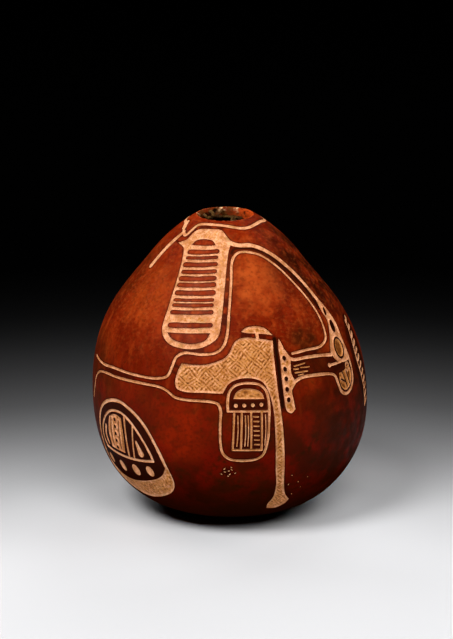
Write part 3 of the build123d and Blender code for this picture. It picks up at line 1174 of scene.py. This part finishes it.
def tidy_mesh(piece, weld):
    """Welds the seam, turns every face outward and creases the edges of the cuts."""
    mesh = bmesh.new()
    mesh.from_mesh(piece.data)
    loose = [vert for vert in mesh.verts if not vert.link_faces]
    bmesh.ops.delete(mesh, geom=loose, context="VERTS")
    if weld:
        open_verts = [vert for vert in mesh.verts if vert.is_boundary]
        bmesh.ops.remove_doubles(mesh, verts=open_verts, dist=weld * MM)
    bmesh.ops.recalc_face_normals(mesh, faces=mesh.faces)
    for face in mesh.faces:
        face.smooth = True
    for edge in mesh.edges:
        paints = {face.material_index for face in edge.link_faces}
        edge.smooth = not {SKIN_PAINT, FLESH_PAINT} <= paints
    mesh.to_mesh(piece.data)
    mesh.free()


def make_gourd():
    points, faces, owner, foot, rim = lay_out()
    places, edge, mark, stain, face_cut = carve_skin(points, faces, owner)
    shell = Shell()
    shell.add_points(places, edge, mark, stain)
    shell.add_faces(faces.tolist(), np.where(face_cut, FLESH_PAINT, SKIN_PAINT))
    add_rim(shell, nearest(points, rim), rim)
    add_foot(shell, nearest(points, foot))
    paints = [skin_paint(), flesh_paint(), break_paint(), pith_paint()]
    gourd = make_object("engraved_gourd", shell.places, shell.faces, paints, shell.paints, shell.values)
    tidy_mesh(gourd, 0.05)
    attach(gourd, "gourd")
    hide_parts("gourd_shell")


# ---------------------------------------------------------------- seeds
def make_seeds(material):
    """Every loose seed, a little squashed and with the scar it grew from."""
    rings, columns = 14, 22
    for number in range(1, 25):
        node = f"seed_{number:02d}"
        low, high = (np.array(corner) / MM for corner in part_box(node))
        centre, half = (low + high) / 2, (high - low) / 2 * 0.985
        places, marks_here = [], []
        for row in range(1, rings):
            tall = pi * row / rings
            for column in range(columns):
                way = 2 * pi * column / columns
                facing = Vector((sin(tall) * cos(way), sin(tall) * sin(way), cos(tall)))
                scar = max(0, 1 - (facing - Vector((1, 0, 0))).length / 0.42)
                dent = 0.05 * noise.noise(facing * 1.3 + Vector((number * 3.7, 0, 0)))
                size = 1 - 0.16 * sin(pi * scar) - 0.03 * scar - abs(dent)
                places.append(tuple(centre[axis] + half[axis] * facing[axis] * size for axis in range(3)))
                marks_here.append(min(1, 2.2 * scar))
        faces = []
        for row in range(rings - 2):
            for column in range(columns):
                after = (column + 1) % columns
                faces.append((row * columns + column, row * columns + after, (row + 1) * columns + after,
                              (row + 1) * columns + column))
        for row, height in ((0, 1), (rings - 2, -1)):
            places.append(tuple(centre + np.array([0, 0, height * half[2] * 0.97])))
            marks_here.append(0)
            tip = len(places) - 1
            faces += [(row * columns + column, row * columns + (column + 1) % columns, tip)
                      for column in range(columns)]
        piece = make_object(node + "_coat", places, faces, [material], values={"mark": marks_here})
        tidy_mesh(piece, 0)
        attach(piece, node)
        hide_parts(node)


# ---------------------------------------------------------------- threads of pith in the hole
def make_threads(material):
    """Dry threads of pith inside the hole: three at its back left, and a short fringe along its far wall."""
    threads = [([(-142, 12.1, 147), (-143, 10.4, 146.2), (-145, 10, 144.4), (-147, 11.6, 143)], 1.7),
               ([(-172, 12.1, 146.8), (-166, 10, 146), (-157, 9.4, 145.2), (-148, 10.2, 144.6)], 1.3),
               ([(-118, 12.1, 146.2), (-116, 10.6, 145.4), (-119, 10.4, 144), (-120, 12, 143)], 1.4)]
    for degrees in range(138, 228, 5):
        threads.append(([(degrees, 12.3, 144), (degrees + 2, 11.9, 143.3), (degrees + 1, 12.1, 143)], 1.3))
    for degrees in (154, 161):
        threads.append(([(degrees, 12.2, 143.6), (degrees + 2, 11.7, 142), (degrees + 1, 12.1, 140)], 1.8))
    places, faces = [], []
    sides, steps = 7, 14
    for number, (route, thick) in enumerate(threads):
        knots = np.array([(radius * sin(radians(degrees)) + CROWN_SHIFT, -radius * cos(radians(degrees)),
                           height) for degrees, radius, height in route])
        line = Curve(knots[:, :2])
        reach = np.linspace(0, line.length[-1], steps)
        flat_line = line.at(reach)
        heights = np.interp(reach, line.length, knots[:, 2])
        start = len(places)
        for step in range(steps):
            size = thick / 2 * (1 + 0.4 * noise.noise(Vector((step * 0.5, number * 5.0, 0))))
            for side in range(sides):
                way = 2 * pi * side / sides
                places.append((flat_line[step, 0] + size * cos(way), flat_line[step, 1] + size * sin(way),
                               heights[step] + 0.4 * size * cos(way)))
        for step in range(steps - 1):
            for side in range(sides):
                after = (side + 1) % sides
                low = start + step * sides
                faces.append((low + side, low + after, low + sides + after, low + sides + side))
        for base in (start, start + (steps - 1) * sides):
            faces.append(tuple(base + side for side in range(sides)))
    piece = make_object("pith_threads", places, faces, [material])
    tidy_mesh(piece, 0)
    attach(piece, "gourd")


make_camera()
make_lights()
make_floor()
make_gourd()
make_threads(bpy.data.materials["pith"])
make_seeds(seed_paint())
